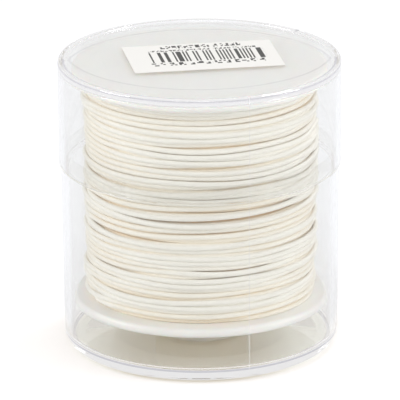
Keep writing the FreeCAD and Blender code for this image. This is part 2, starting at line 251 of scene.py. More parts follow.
place = add_node(tree, "ShaderNodeNewGeometry")
spot = add_node(tree, "ShaderNodeSeparateXYZ", Vector=place.outputs["Position"])
away = add_node(tree, "ShaderNodeVectorMath", {"operation": "LENGTH"},
                Vector=place.outputs["Position"]).outputs["Value"]
aside = math_node(tree, "ABSOLUTE", math_node(tree, "SUBTRACT", spot.outputs[0], SHADE_MIDDLE))
painted_shade_colour = blend_colours(tree, smooth_step(tree, aside, *SHADE_TO_SIDE), PAINTED_SHADE_GLOW, PAINTED_SIDE_LIGHT)
in_open = smooth_step(tree, away, *SHADE_TO_OPEN)
glow_colour = blend_colours(tree, in_open, painted_shade_colour, OPEN_GLOW)

# Rays through the walls see painted shade, other looking rays see painted light that takes out the
# box's shadow.
bent_ray = most(tree, path.outputs["Is Transmission Ray"], path.outputs["Is Glossy Ray"])
through_wall = times(tree, bent_ray, smooth_step(tree, away, *LOSS_BEGINS))
fading = smooth_step(tree, away, *PAINTED_LIFT_FADES, 1.0, 0.0)
shadow_painted_out = times(tree, in_open, fading, rest_of(tree, through_wall))
own_and_painted_light = math_node(tree, "MULTIPLY_ADD", through_wall, -PAINTED_WALL_SHADE, 1.0)
own_and_painted_light = math_node(tree, "MULTIPLY_ADD", shadow_painted_out, PAINTED_SHADOW_LIFT, own_and_painted_light)
glow = add_node(tree, "ShaderNodeEmission", Color=glow_colour,
                Strength=times(tree, ray_seen_directly(tree), own_and_painted_light))
both = add_node(tree, "ShaderNodeAddShader", _0=card.outputs[0], _1=glow.outputs[0])
tree.links.new(both.outputs[0], output.inputs["Surface"])
floor_mesh.materials.append(floor_card)
print("floor card is", 2 * FLOOR_HALF, "m wide")

# %% [markdown]
# The world is two backgrounds in one. Looking rays see white, slightly less so where they
# have been bent or mirrored, a painted shade that greys the clear walls, and the object is
# lit by a softer, warmer room.

# %% The surroundings
WORLD_LIGHT, ROOM_COLOUR = 0.62, (1.0, 0.98, 0.945, 1)
# Painted shade on the clear walls: the backdrop is dimmer for bent and mirrored rays.
BACKDROP_BENT = 0.91

world = bpy.data.worlds.new("studio")
world.use_nodes = True
bpy.context.scene.world = world
tree = world.node_tree
tree.nodes.clear()
path = add_node(tree, "ShaderNodeLightPath")
backdrop_light = math_node(tree, "MULTIPLY_ADD", path.outputs["Is Camera Ray"],
                           1 - BACKDROP_BENT, BACKDROP_BENT)
backdrop = add_node(tree, "ShaderNodeBackground", Color=(1, 1, 1, 1), Strength=backdrop_light)
room = add_node(tree, "ShaderNodeBackground", Color=ROOM_COLOUR, Strength=WORLD_LIGHT)
mix = add_node(tree, "ShaderNodeMixShader", _0=ray_seen_directly(tree),
               _1=room.outputs[0], _2=backdrop.outputs[0])
add_node(tree, "ShaderNodeOutputWorld", Surface=mix.outputs[0])
print("backdrop is white, room light", WORLD_LIGHT)

# %% [markdown]
# ## Lamps
# White goods need large soft lamps. A smaller one above and behind on the right draws the
# soft shadow of the sticker, two boxes left and right shape the round winding, and two in
# front, one high and one low, fill the shade on the flange and between the cords. Watts say
# little about how bright a thing looks, so each lamp is given by the share of white that it
# adds to a card that faces it.

# %% Lamps
AIM = Vector((0, 0, 0.03))


def soft_box(name, place, width, height, share):
    """An area lamp whose light on a card at the aim, facing it, is `share` of white."""
    data = bpy.data.lights.new(name, "AREA")
    data.shape = "RECTANGLE"
    data.size, data.size_y = width, height
    lamp = bpy.data.objects.new(name, data)
    lamp.location = place
    away = AIM - Vector(place)
    data.energy = share * math.pi * math.pi * away.length ** 2
    lamp.rotation_euler = away.to_track_quat("-Z", "Y").to_euler()
    bpy.context.scene.collection.objects.link(lamp)
    print(f"{name}: {data.energy:.2f} W")


soft_box("lamp_behind", (0.35, 0.35, 0.80), 0.16, 0.16, 0.22)
soft_box("lamp_right", (0.85, -0.22, 0.34), 0.4, 0.3, 0.36)
soft_box("lamp_left", (-0.82, -0.22, 0.42), 0.4, 0.3, 0.36)
soft_box("lamp_front", (-0.10, -0.75, 0.85), 0.5, 0.4, 0.14)
soft_box("lamp_low", (0.0, -1.10, 0.26), 0.8, 0.25, 0.11)

# %% [markdown]
# ## Turned shapes
# Moulded round parts are the same all round. They could be cut from cylinders, but it is
# simpler to draw one half profile and turn it about the axis, as on a lathe. Every corner
# of the profile gets a small arc: moulded edges are never sharp, and it is the arcs that
# catch the light as thin bright rings.

# %% Profiles with arcs
def arced(corners, steps=5):
    """Profile points from (radius, height, fillet) corners in millimetres."""
    points = []
    count = len(corners)
    for index, (radius, height, fillet) in enumerate(corners):
        here = np.array((radius, height), float)
        before = np.array(corners[index - 1][:2], float)
        after = np.array(corners[(index + 1) % count][:2], float)
        if not fillet:
            points.append(here)
            continue
        back = (before - here) / np.linalg.norm(before - here)
        on = (after - here) / np.linalg.norm(after - here)
        half = math.acos(float(np.clip(back @ on, -1, 1))) / 2
        reach = fillet / math.tan(half)
        middle = here + (back + on) / np.linalg.norm(back + on) * fillet / math.sin(half)
        start, end = here + back * reach - middle, here + on * reach - middle
        sweep = math.atan2(start[0] * end[1] - start[1] * end[0], start @ end)
        for step in range(steps + 1):
            turn = sweep * step / steps
            points.append(middle + np.array((
                start[0] * math.cos(turn) - start[1] * math.sin(turn),
                start[0] * math.sin(turn) + start[1] * math.cos(turn),
            )))
    return with_holding_points(points)


def with_holding_points(points, near=0.04):
    """A point close to both ends of each long flat run, so that its shading stays flat."""
    held = []
    for here, after in zip(points, points[1:] + points[:1]):
        held.append(here)
        run = np.linalg.norm(after - here)
        off_axis = here[0] + after[0] > 0
        if run > 4 * near and off_axis:
            held += [here + (after - here) * near / run, after - (after - here) * near / run]
    return held


# %% [markdown]
# A Screw modifier could turn the profile. Made in code, each piece chooses its own angles,
# so that points can stand closer where a notch crosses a rim, and a profile that starts on
# the axis closes there in a clean fan of triangles.

# %% Turning a profile
def turned(name, profile, closed, angles):
    """A mesh of the profile turned through the angles. An open profile ends on the axis."""
    verts, faces = [], []
    rings = []
    for radius, height in profile:
        if radius < 1e-9:
            rings.append([len(verts)] * len(angles))
            verts.append((0, 0, height * MM))
            continue
        rings.append(list(range(len(verts), len(verts) + len(angles))))
        verts += [(radius * MM * math.cos(a), radius * MM * math.sin(a), height * MM) for a in angles]
    pairs = list(zip(rings, rings[1:] + rings[:1])) if closed else list(zip(rings, rings[1:]))
    for lower, upper in pairs:
        for index in range(len(angles)):
            following = (index + 1) % len(angles)
            corner = [lower[index], lower[following], upper[following], upper[index]]
            face = list(dict.fromkeys(corner))
            if len(face) > 2:
                faces.append(face)
    mesh = bpy.data.meshes.new(name)
    mesh.from_pydata(verts, [], faces)
    mesh.validate()
    tidy = bmesh.new()
    tidy.from_mesh(mesh)
    bmesh.ops.recalc_face_normals(tidy, faces=tidy.faces)
    tidy.to_mesh(mesh)
    tidy.free()
    mesh.shade_smooth()
    piece = bpy.data.objects.new(name, mesh)
    bpy.context.scene.collection.objects.link(piece)
    print(f"{name}: {len(mesh.vertices)} points, {len(mesh.polygons)} faces")
    return piece


def even_angles(count):
    return [2 * math.pi * step / count for step in range(count)]


# %% [markdown]
# ## Shared surface effects
# Plastic, paper and cord all carry a fine grain, and the hard plastics pick up hairline
# scuffs in use. Each material could have its own copy of the nodes. Built once as groups
# with named sockets, they stay alike, and each material sets its own size and strength.

# %% Shared surface effects
SCUFF_STRETCH, SCUFF_TURN = (9.0, 1.0, 2.5), (0.6, 0.2, 0.9)
SCUFF_THIN, SCUFF_PATCH = 0.006, 0.55


def new_group(name, inputs, outputs):
    group = bpy.data.node_groups.new(name, "ShaderNodeTree")
    for socket, value in inputs.items():
        item = group.interface.new_socket(socket, in_out="INPUT", socket_type="NodeSocketFloat")
        item.default_value = value
    for socket in outputs:
        group.interface.new_socket(socket, in_out="OUTPUT", socket_type="NodeSocketFloat")
    return group, group.nodes.new("NodeGroupInput"), group.nodes.new("NodeGroupOutput")


def grouped(tree, group, **values):
    return add_node(tree, "ShaderNodeGroup", {"node_tree": group}, **values).outputs


grain_group, given, result = new_group("fine_grain", {"Scale": 800.0, "Cloud Scale": 60.0},
                                       ["Height", "Cloud"])
place = add_node(grain_group, "ShaderNodeTexCoord").outputs["Object"]
for size, detail, wanted in (("Scale", 4.0, "Height"), ("Cloud Scale", 2.0, "Cloud")):
    noise = add_node(grain_group, "ShaderNodeTexNoise", Vector=place,
                     Scale=given.outputs[size], Detail=detail)
    grain_group.links.new(noise.outputs[0], result.inputs[wanted])

scuff_group, given, result = new_group("hairline_scuffs", {"Scale": 40.0, "Amount": 0.5}, ["Mask"])
place = add_node(scuff_group, "ShaderNodeTexCoord").outputs["Object"]
patches = add_node(scuff_group, "ShaderNodeTexNoise", Vector=place, Scale=30.0)
stretch = add_node(scuff_group, "ShaderNodeMapping", Vector=place,
                   Scale=SCUFF_STRETCH, Rotation=SCUFF_TURN)
lines = add_node(scuff_group, "ShaderNodeTexNoise", Vector=stretch.outputs[0],
                 Scale=given.outputs["Scale"], Detail=6.0)
narrow = math_node(scuff_group, "ABSOLUTE", math_node(scuff_group, "SUBTRACT", lines.outputs[0], 0.5))
scuffed = times(scuff_group, below(scuff_group, narrow, SCUFF_THIN),
                above(scuff_group, patches.outputs[0], SCUFF_PATCH), given.outputs["Amount"])
scuff_group.links.new(scuffed, result.inputs["Mask"])
print("groups:", [group.name for group in bpy.data.node_groups])

# %% [markdown]
# ## Clear plastic
# The box is moulded polystyrene. It bends light a little more than window glass, it mirrors
# at every surface, and edge on it looks cool grey, because the look then runs through more
# of it. A Principled shader with full transmission does the bending and mirroring, and an
# absorbing volume does the grey.
#
# Some marks are far finer than the mesh: the upright mould line, which also carries a painted
# highlight, dust, and painted shade: the faint dark arcs on the panel and the dark lines that
# moulded corners show. They could be cut into the mesh at great cost. Here masks draw them,
# each from a spot's height, its distance from the axis and its direction on the object itself,
# so they stay in place from every side.

# %% Clear plastic: fine lines
PLASTIC_IOR = 1.59
CLEAR_TINTS = (0.930, 0.930, 0.917, 1), (0.945, 0.945, 0.932, 1)
LINE_ANGLE, LINE_WIDTH, LINE_RADIUS = math.radians(-70), 0.16 * MM, 29.3 * MM
# The mould line is rough, and it carries a faint painted highlight.
LINE_ROUGH, LINE_PAINTED_HIGHLIGHT = 0.15, 0.55
DUST_SCALE, DUST_SIZE, DUST_SHARE, DUST_COLOUR = 70.0, 0.016, 0.8, (0.25, 0.24, 0.22, 1)

clear_plastic, tree, output = empty_material("clear_plastic")
path = add_node(tree, "ShaderNodeLightPath")
face = add_node(tree, "ShaderNodeNewGeometry")
place = add_node(tree, "ShaderNodeTexCoord")
spot = add_node(tree, "ShaderNodeSeparateXYZ", Vector=place.outputs["Object"])
spot_height = spot.outputs[2]
spot_radius = from_axis(tree, spot.outputs[0], spot.outputs[1])
in_front = below(tree, spot.outputs[1], 0.0)

scuffs = grouped(tree, scuff_group, Scale=30.0, Amount=0.25)
grain = grouped(tree, grain_group, Scale=500.0, Cloud_Scale=35.0)
mould_line = times(tree, below(tree, beside(tree, spot, LINE_ANGLE), LINE_WIDTH / 2),
                   above(tree, spot_radius, LINE_RADIUS), in_front)
clear_roughness = math_node(tree, "MULTIPLY_ADD", scuffs["Mask"], 0.3, 0.015)
clear_roughness = math_node(tree, "MULTIPLY_ADD", mould_line, LINE_ROUGH, clear_roughness)
dust = add_node(tree, "ShaderNodeTexVoronoi", Vector=place.outputs["Object"], Scale=DUST_SCALE)
speck = below(tree, dust.outputs["Distance"], DUST_SIZE)
tint = blend_colours(tree, grain["Cloud"], *CLEAR_TINTS)
tint = stained(tree, tint, speck, DUST_SHARE, DUST_COLOUR)
print("mould line at", round(math.degrees(LINE_ANGLE)), "degrees")

# %% [markdown]
# A moulded corner bends the look so far aside that it shows something dark, and here those
# dark lines are painted shade in the tint. The cup's floor meets its wall in such a line, the
# lid's rim has one outside and one inside, painted stronger on the front half, and the notch
# in the rim has one at each side. The panel carries two faint dark arcs, painted shade where
# the light that the rim bends leaves a band on it.

# %% Clear plastic: dark edges
CUP_CORNER, RIM_LINE = (2.64 * MM, 3.1 * MM), (62.02 * MM, 62.3 * MM)
RIM_OUTSIDE, RIM_INSIDE, EDGES_BEYOND = 29.8 * MM, 29.1 * MM, 26.5 * MM
EDGE_SHARE, PAINTED_EDGE_SHADE = 0.85, (0.42, 0.41, 0.48, 1)
ARC_MIDDLE, ARC_SHIFT, ARC_RADIUS = 0.95 * MM, 6.55 * MM, 28.45 * MM
ARC_HALF, PANEL_FACE = 0.3 * MM, (62.0 * MM, 62.2 * MM)
ARC_SHARE, ARC_PAINTED_SHADE = 0.4, (0.42, 0.41, 0.46, 1)
NOTCH_ANGLE, NOTCH_HALF, NOTCH_DEPTH = math.radians(42), 1.05 * MM, 0.3 * MM
NOTCH_INNER, NOTCH_OUTER = NOTCH_HALF - 0.15 * MM, NOTCH_HALF + 0.1 * MM
NOTCH_BEYOND, NOTCH_ABOVE = 28.4 * MM, 61.9 * MM
NOTCH_SHARE, NOTCH_PAINTED_SHADE = 0.75, (0.36, 0.36, 0.38, 1)

# Painted shade: dark lines at the cup's inner corner and along the rim, stronger on the front half.
rim_outside = times(tree, between(tree, spot_height, *RIM_LINE), above(tree, spot_radius, RIM_OUTSIDE))
rim_inside = times(tree, above(tree, spot_height, RIM_LINE[1]), below(tree, spot_radius, RIM_INSIDE),
                   in_front)
painted_rim_lines = times(tree, most(tree, rim_outside, rim_inside),
                  math_node(tree, "MULTIPLY_ADD", in_front, 0.5, 0.5))
painted_dark_edges = times(tree, most(tree, between(tree, spot_height, *CUP_CORNER), painted_rim_lines),
                   above(tree, spot_radius, EDGES_BEYOND))
tint = stained(tree, tint, painted_dark_edges, EDGE_SHARE, PAINTED_EDGE_SHADE)

# Two arcs of painted shade that bow front and back: circles whose middles are shifted apart along y.
from_middle = math_node(tree, "ABSOLUTE", math_node(tree, "SUBTRACT", spot.outputs[1], ARC_MIDDLE))
arc_radius = from_axis(tree, spot.outputs[0], math_node(tree, "ADD", from_middle, ARC_SHIFT))
painted_arc_shade = times(tree, between(tree, arc_radius, ARC_RADIUS - ARC_HALF, ARC_RADIUS + ARC_HALF),
               between(tree, spot_height, *PANEL_FACE))
tint = stained(tree, tint, painted_arc_shade, ARC_SHARE, ARC_PAINTED_SHADE)

# Painted shade: a dark line at each side of the notch.
on_rim = times(tree, above(tree, ahead_of(tree, spot, NOTCH_ANGLE), NOTCH_BEYOND),
               above(tree, spot_height, NOTCH_ABOVE))
notch_side = between(tree, beside(tree, spot, NOTCH_ANGLE), NOTCH_INNER, NOTCH_OUTER)
tint = stained(tree, tint, times(tree, notch_side, on_rim), NOTCH_SHARE, NOTCH_PAINTED_SHADE)
print("notch at", round(math.degrees(NOTCH_ANGLE)), "degrees")

# %% [markdown]
# Rays of light and rays of sight need different walls. Light for the cord would have to
# find its way through bending walls, which leaves noise and dark cord, so shadow and diffuse
# rays go straight through and lose only what the surface mirrors. A ray of sight that the
# plastic has trapped would end black, where real plastic is full of stray light, so after
# many bounces, or when the cup's floor holds it in, it ends in a pale glowing haze, painted
# light for that stray light. In the cup's floor the haze is darker, and warmer from the far
# side, painted shade that matches the shade under the spool. The mould line glows faintly
# with the same haze, a painted highlight. Where neck and skirt overlap, the look would be
# trapped as well and show a dark band, so there nine tenths of it go straight through.

# %% Clear plastic: rays
TRAPPED_AFTER, FLOOR_REACH, FULL_MIRROR = 8.5, 2.7 * MM, 0.99
SEAM_MIDDLE, SEAM_REACH, SEAM_RADIUS = 41.75 * MM, 2.1 * MM, 28.96 * MM
SEAM_SHARE, UPRIGHT, BEHIND_SKIRT = 0.9, 0.05, 1.5

light_ray = most(tree, path.outputs["Is Shadow Ray"], path.outputs["Is Diffuse Ray"])
sight_ray = rest_of(tree, light_ray)
from_behind = face.outputs["Backfacing"]

inner_mirror = add_node(tree, "ShaderNodeFresnel", IOR=PLASTIC_IOR)
held_in = times(tree, from_behind, above(tree, inner_mirror.outputs[0], FULL_MIRROR))
floor_ray = times(tree, below(tree, spot_height, FLOOR_REACH), held_in)
deep_ray = above(tree, path.outputs["Ray Depth"], TRAPPED_AFTER)
trapped_ray = times(tree, most(tree, deep_ray, floor_ray), sight_ray)
# Painted highlight: for looking rays the mould line glows faintly with the haze.
mould_line_painted_highlight = times(tree, mould_line, LINE_PAINTED_HIGHLIGHT, sight_ray)

facing = add_node(tree, "ShaderNodeSeparateXYZ", Vector=place.outputs["Normal"])
not_upright = above(tree, math_node(tree, "ABSOLUTE", facing.outputs[2]), UPRIGHT)
off_seam = math_node(tree, "ABSOLUTE", math_node(tree, "SUBTRACT", spot_height, SEAM_MIDDLE))
on_neck = below(tree, spot_radius, SEAM_RADIUS)
on_skirt = times(tree, not_upright, rest_of(tree, on_neck))
neck_behind = times(tree, on_neck, above(tree, path.outputs["Ray Depth"], BEHIND_SKIRT))
seam = times(tree, below(tree, off_seam, SEAM_REACH), most(tree, on_skirt, neck_behind), SEAM_SHARE)
print("seam from", round((SEAM_MIDDLE - SEAM_REACH) / MM, 2), "mm up")

# %% [markdown]
# Here the parts come together. The Principled shader is the wall for sight, the see-through
# one is the wall for light and for the seam, and the haze, painted light, ends what is
# trapped and lights the mould line as a painted highlight. The haze is only meant to be
# looked at, so it is kept from being sampled as a lamp.

# %% Clear plastic: the shader
CLEAR_PASS, CLEAR_DEPTH = (0.985, 0.985, 0.98, 1), (0.53, 0.52, 0.64, 1)
HAZE_NEAR, HAZE_FAR_PAINTED_SHADE = (0.95, 0.945, 0.955, 1), (0.90, 0.86, 0.80, 1)
HAZE_LIGHT, FLOOR_HAZE_PAINTED_SHADE, FAR_HAZE_PAINTED_SHADE, FAR_AFTER = 0.97, 0.10, 0.08, 2.5

wave = add_node(tree, "ShaderNodeBump", Strength=0.02, Distance=0.0005, Height=grain["Cloud"])
clear = add_node(tree, "ShaderNodeBsdfPrincipled", Base_Color=tint, Roughness=clear_roughness,
                 IOR=PLASTIC_IOR, Transmission_Weight=1.0, Normal=wave.outputs[0])

# A Fresnel node turns its index over on the inside, so this one is turned over in advance.
either_side = math_node(tree, "MULTIPLY_ADD", from_behind, 1 / PLASTIC_IOR - PLASTIC_IOR, PLASTIC_IOR)
mirrored = add_node(tree, "ShaderNodeFresnel", IOR=either_side)
passed = blend_colours(tree, times(tree, mirrored.outputs[0], light_ray), CLEAR_PASS, (0, 0, 0, 1))
through = add_node(tree, "ShaderNodeBsdfTransparent", Color=passed)
wall = add_node(tree, "ShaderNodeMixShader", _0=most(tree, light_ray, seam),
                _1=clear.outputs[0], _2=through.outputs[0])

# Painted shade: trapped looks into the cup's floor end in a darker haze, and a warmer one from the far
# side.
far_side = above(tree, path.outputs["Ray Depth"], FAR_AFTER)
haze_painted_shade = math_node(tree, "MULTIPLY_ADD", far_side, FAR_HAZE_PAINTED_SHADE, FLOOR_HAZE_PAINTED_SHADE)
haze_light = math_node(tree, "SUBTRACT", HAZE_LIGHT, times(tree, floor_ray, haze_painted_shade))
haze_colour = blend_colours(tree, times(tree, floor_ray, far_side), HAZE_NEAR, HAZE_FAR_PAINTED_SHADE)
# Painted light: the haze glows for looking rays only.
painted_haze_light = add_node(tree, "ShaderNodeEmission", Color=haze_colour, Strength=haze_light)
ends = add_node(tree, "ShaderNodeMixShader", _0=most(tree, trapped_ray, mould_line_painted_highlight),
                _1=wall.outputs[0], _2=painted_haze_light.outputs[0])
tree.links.new(ends.outputs[0], output.inputs["Surface"])
clear_plastic.cycles.emission_sampling = "NONE"

depth_tint = add_node(tree, "ShaderNodeVolumeAbsorption", Color=CLEAR_DEPTH, Density=1.6)
tree.links.new(depth_tint.outputs[0], output.inputs["Volume"])
print("clear plastic has", len(tree.nodes), "nodes")

# %% [markdown]
# ## White plastic
# The flanges and the barrel are cheap white plastic: satin, slightly see-through at thin
# edges, with the faint unevenness of a moulding. One Principled shader with a little
# subsurface light gives that. The hub under the lower flange stands in the box's deepest
# shade, where all light has come off cream cord and warm card, and that shade is painted
# into its colour as a warm tan.

# %% White plastic
WHITE_TINTS = (0.917, 0.92, 0.915, 1), (0.937, 0.94, 0.935, 1)
HUB_BELOW, HUB_PAINTED_SHADE = 9.4 * MM, (0.74, 0.67, 0.55, 1)

white_plastic, tree, output = empty_material("white_plastic")
grain = grouped(tree, grain_group, Scale=900.0, Cloud_Scale=90.0)
scuffs = grouped(tree, scuff_group, Scale=45.0, Amount=0.5)
place = add_node(tree, "ShaderNodeTexCoord")
spot = add_node(tree, "ShaderNodeSeparateXYZ", Vector=place.outputs["Object"])
colour = blend_colours(tree, grain["Cloud"], *WHITE_TINTS)
# Painted shade: below the lower flange the plastic is coloured warm tan.
colour = blend_colours(tree, below(tree, spot.outputs[2], HUB_BELOW), colour, HUB_PAINTED_SHADE)
roughness = math_node(tree, "MULTIPLY_ADD", scuffs["Mask"], 0.2, 0.34)
bump = add_node(tree, "ShaderNodeBump", Strength=0.12, Distance=0.0001, Height=grain["Height"])
satin = add_node(tree, "ShaderNodeBsdfPrincipled", Base_Color=colour, Roughness=roughness, IOR=1.5,
                 Subsurface_Weight=0.2, Subsurface_Scale=0.002, Normal=bump.outputs[0])
tree.links.new(satin.outputs[0], output.inputs["Surface"])
print("white plastic has", len(tree.nodes), "nodes")

# %% [markdown]
# ## The cup
# The cup is one moulding: a foot ring, a floor, a plain wall and a thinner neck that the lid
# slides over. A hollow post in the middle guides the spool, which stands on its own hub.
# Solids could be joined and cut for this, but one half profile holds all of it and shows how
# thick each part is. It starts on the axis under the post's tip and ends on the axis above
# it. Cavity and post are slightly narrower at one end, as a moulding has to be to leave its
# mould. Sizes that the CAD model already has are read from the boxes of its nodes.

# %% The cup
def low_high(node):
    low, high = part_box(node)
    return [value / MM for value in low], [value / MM for value in high]


CUP_RADIUS = low_high("box_base")[1][0]
SHOULDER, NECK_TOP = low_high("box_lid_skirt")[0][2], low_high("box_wall")[1][2]
NECK_RADIUS, CAVITY_RADIUS, FLOOR_TOP, FOOT_HEIGHT = 28.92, 27.92, 2.6, 1.2
POST_RADIUS, POST_CORE, POST_TOP, POST_TIP = 4.75, 1.9, 21.6, 1.4
DRAFT = 0.1

# Each corner is a radius, a height and the radius of its arc, in millimetres.
cup_profile = arced([
    (0, POST_TOP - POST_TIP, 0),
    (POST_CORE, POST_TOP - POST_TIP, 0.4),
    (POST_CORE, FOOT_HEIGHT, 0.3),
    (19.0, FOOT_HEIGHT, 8.0),
    (24.9, 0.0, 2.5),
    (26.75, 0.0, 0.3),
    (28.6, 0.75, 1.6),
    (29.35, 2.8, 1.6),
    (CUP_RADIUS, SHOULDER, 0.15),
    (NECK_RADIUS, SHOULDER, 0.1),
    (NECK_RADIUS, NECK_TOP, 0.3),
    (CAVITY_RADIUS, NECK_TOP, 0.25),
    (CAVITY_RADIUS - DRAFT, FLOOR_TOP, 1.1),
    (POST_RADIUS, FLOOR_TOP, 0.5),
    (POST_RADIUS - DRAFT, POST_TOP, 0.8),
    (0, POST_TOP, 0),
])
cup = turned("clear_cup", cup_profile, False, even_angles(384))
cup.data.materials.append(clear_plastic)
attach(cup, "cup")
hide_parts("box_base", "box_wall")

# %% [markdown]
# ## The lid
# The lid is a deep skirt with a panel sunk just below its rim. The rim is the brightest line
# of the whole box, so its profile is drawn with care: a rounded outer shoulder and a
# softer inner one. Where the plastic once flowed into the mould, a small notch crosses the
# rim, with a shallow flat beside it. A cut through the mesh would leave rough shading, so
# the rim's points stand closer together there and are only pressed down.

# %% The lid
LID_RADIUS, LID_INNER, RIM_INNER = low_high("box_lid")[1][0], 29.0, 28.6
PANEL_BOTTOM, RIM_TOP = low_high("box_lid")[0][2], low_high("box_lid")[1][2]
PANEL_TOP = PANEL_BOTTOM + 1.0
CLOSE_STEP, CLOSE_COUNT, CLOSE_REACH = 0.0025, 24, 0.062
NOTCH_SLOPE, PANEL_CLEAR = 0.12, 0.05
GATE_START, GATE_END, GATE_DEPTH = math.radians(45), math.radians(60), 0.12

lid_profile = arced([
    (0, PANEL_BOTTOM, 0),
    (LID_INNER, PANEL_BOTTOM, 0.5),
    (LID_INNER, SHOULDER, 0.25),
    (LID_RADIUS, SHOULDER, 0.15),
    (LID_RADIUS, RIM_TOP, 0.55),
    (RIM_INNER, RIM_TOP, 0.35),
    (RIM_INNER - 0.15, PANEL_TOP, 0.3),
    (0, PANEL_TOP, 0),
])
near_notch = [NOTCH_ANGLE + step * CLOSE_STEP for step in range(-CLOSE_COUNT, CLOSE_COUNT + 1)]
far_from_notch = [angle for angle in even_angles(384) if abs(angle - NOTCH_ANGLE) > CLOSE_REACH]
lid = turned("clear_lid", lid_profile, False, sorted(far_from_notch + near_notch))
for vertex in lid.data.vertices:
    x, y, z = (value / MM for value in vertex.co)
    along = -x * math.sin(NOTCH_ANGLE) + y * math.cos(NOTCH_ANGLE)
    ahead = x * math.cos(NOTCH_ANGLE) + y * math.sin(NOTCH_ANGLE)
    if ahead > 0 and z > PANEL_TOP + PANEL_CLEAR:
        depth = NOTCH_DEPTH / MM * min(1, max(0, (NOTCH_HALF / MM - abs(along)) / NOTCH_SLOPE))
        if GATE_START < math.atan2(y, x) < GATE_END:
            depth = GATE_DEPTH
        vertex.co.z = min(z, max(PANEL_TOP + PANEL_CLEAR, RIM_TOP - depth)) * MM
lid.data.materials.append(clear_plastic)
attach(lid, "lid")
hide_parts("box_lid", "box_lid_skirt")

# %% [markdown]
# ## The flanges
# Each flange is a turned disc with a rounded rim, a bore for the post and a ring that plugs
# into the barrel. The lower one has a hub below it, on which the spool stands, and the
# upper one is turned over and has none. Both come from one list of corners, so they match.
# The barrel is hidden by the cord, so its CAD solid stays and takes the same finish.

# %% The flanges
HUB_LENGTH, FLANGE_THICKNESS, RING_LENGTH = 7.0, 2.0, 4
SPOOL_BOTTOM = low_high("spool_lower_flange")[0][2] + HUB_LENGTH
SPOOL_TOP = low_high("spool_upper_flange")[1][2]
FLANGE_RADIUS = low_high("spool_upper_flange")[1][0]
BORE, HUB_INNER, HUB_OUTER = 5.0, 8.3, 9.8
RING_OUTER, RING_INNER = 11.35, 9.85


def flange(name, base, way, node, hub=0):
    hub_corners = [(HUB_INNER, 0, 0.4), (HUB_INNER, -hub, 0.2),
                   (HUB_OUTER, -hub, 0.2), (HUB_OUTER, 0, 0.5)]
    corners = [
        (BORE, 0, 0.25),
        *(hub_corners if hub else []),
        (FLANGE_RADIUS, 0, 0.85),
        (FLANGE_RADIUS, FLANGE_THICKNESS, 0.85),
        (RING_OUTER, FLANGE_THICKNESS, 0.1),
        (RING_OUTER, FLANGE_THICKNESS + RING_LENGTH, 0.3),
        (RING_INNER, FLANGE_THICKNESS + RING_LENGTH, 0.3),
        (RING_INNER, FLANGE_THICKNESS, 0.3),
        (BORE, FLANGE_THICKNESS, 0.25),
    ]
    profile = [(radius, base + way * height) for radius, height in arced(corners)]
    disc = turned(name, profile, True, even_angles(320))
    disc.data.materials.append(white_plastic)
    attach(disc, "spool")
    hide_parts(node)


flange("lower_flange", SPOOL_BOTTOM, 1, "spool_lower_flange", hub=HUB_LENGTH)
flange("upper_flange", SPOOL_TOP, -1, "spool_upper_flange")
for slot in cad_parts["spool_barrel"].material_slots:
    slot.material = white_plastic

# %% [markdown]
# ## The winding
# Cord is wound under light tension, turn beside turn, layer over layer. A drawn pattern
# would look too neat, and a simulation of 17 metres of cord would be very slow. So the
# winding is worked out the way it happens: each turn wants to follow the one before, wanders
# a little, slips into the nearest groove, and lies on whatever is under it. Under tension it
# lifts off in a shallow arch on both sides of a crossing, and that opens the lens-shaped
# gaps of a real spool. Three layers are laid like this, and a plain core fills the rest.

# %% How a turn lies
# In millimetres. CORD is how near two cords lie, middle to middle. The drawn cord is a
# little lower and wider, because the cords beside and above press on it.
CORD = 1.13
CORD_HEIGHT, CORD_WIDTH = 1.06, 1.16
WIND_LOW, WIND_HIGH = SPOOL_BOTTOM + FLANGE_THICKNESS, SPOOL_TOP - FLANGE_THICKNESS
WINDING_RADIUS = 25.3
STEPS = 144
LAYERS, TURNS = 3, 39
random = np.random.default_rng(11)

# Waves of the wander, in turns, and the share of it that each one has.
WAVES = ((0.45, 0.3), (0.8, 0.7), (1.35, 0.9), (2.2, 0.8), (3.4, 0.6), (5.5, 0.3), (9.0, 0.2))
# How far a cord sinks into the one it crosses: 1 is not at all.
PRESSED = 0.75


def wander(turn_numbers, reach):
    """A smooth random drift in millimetres, over waves of half a turn to nine turns."""
    drift = np.zeros_like(turn_numbers)
    for wave, part in WAVES:
        strength = reach * part * random.uniform(0.6, 1.0)
        drift += strength * np.sin(2 * np.pi * turn_numbers / wave + random.uniform(0, 2 * np.pi))
    return drift


def smoothed(values, before, width):
    """A running mean along the cord that carries on from the turn before."""
    padded = np.concatenate([before, values, np.repeat(values[-1:], width)])
    kernel = np.hanning(2 * width + 1)
    kernel /= kernel.sum()
    return np.convolve(padded, kernel, "same")[len(before):len(before) + len(values)]


def rests_on(heights, laid, floor_radius):
    """The least radius at which a cord at these heights lies on the cords laid before."""
    radius = np.full(len(heights), floor_radius)
    for other_height, other_radius in laid:
        apart = heights - other_height
        reach = np.maximum(CORD ** 2 - apart ** 2, 0)
        rise = np.where(np.abs(apart) < CORD, other_radius + PRESSED * np.sqrt(reach), 0)
        radius = np.maximum(radius, rise)
    return radius


def under_tension(radius):
    """The cord's radius once it bridges the hollows beside each place where it is held up.

    A straight cord that touches a drum rises off it by drum radius / 2 * angle ** 2.
    """
    floor_radius = radius.min()
    lift = np.sqrt(np.maximum(radius - floor_radius, 0))
    angle = np.arange(STEPS) * 2 * np.pi / STEPS
    apart = np.abs(angle[:, None] - angle[None, :])
    apart = np.minimum(apart, 2 * np.pi - apart)
    arch = np.maximum(lift[None, :] - math.sqrt(floor_radius / 2) * apart, 0)
    return floor_radius + arch.max(axis=1) ** 2


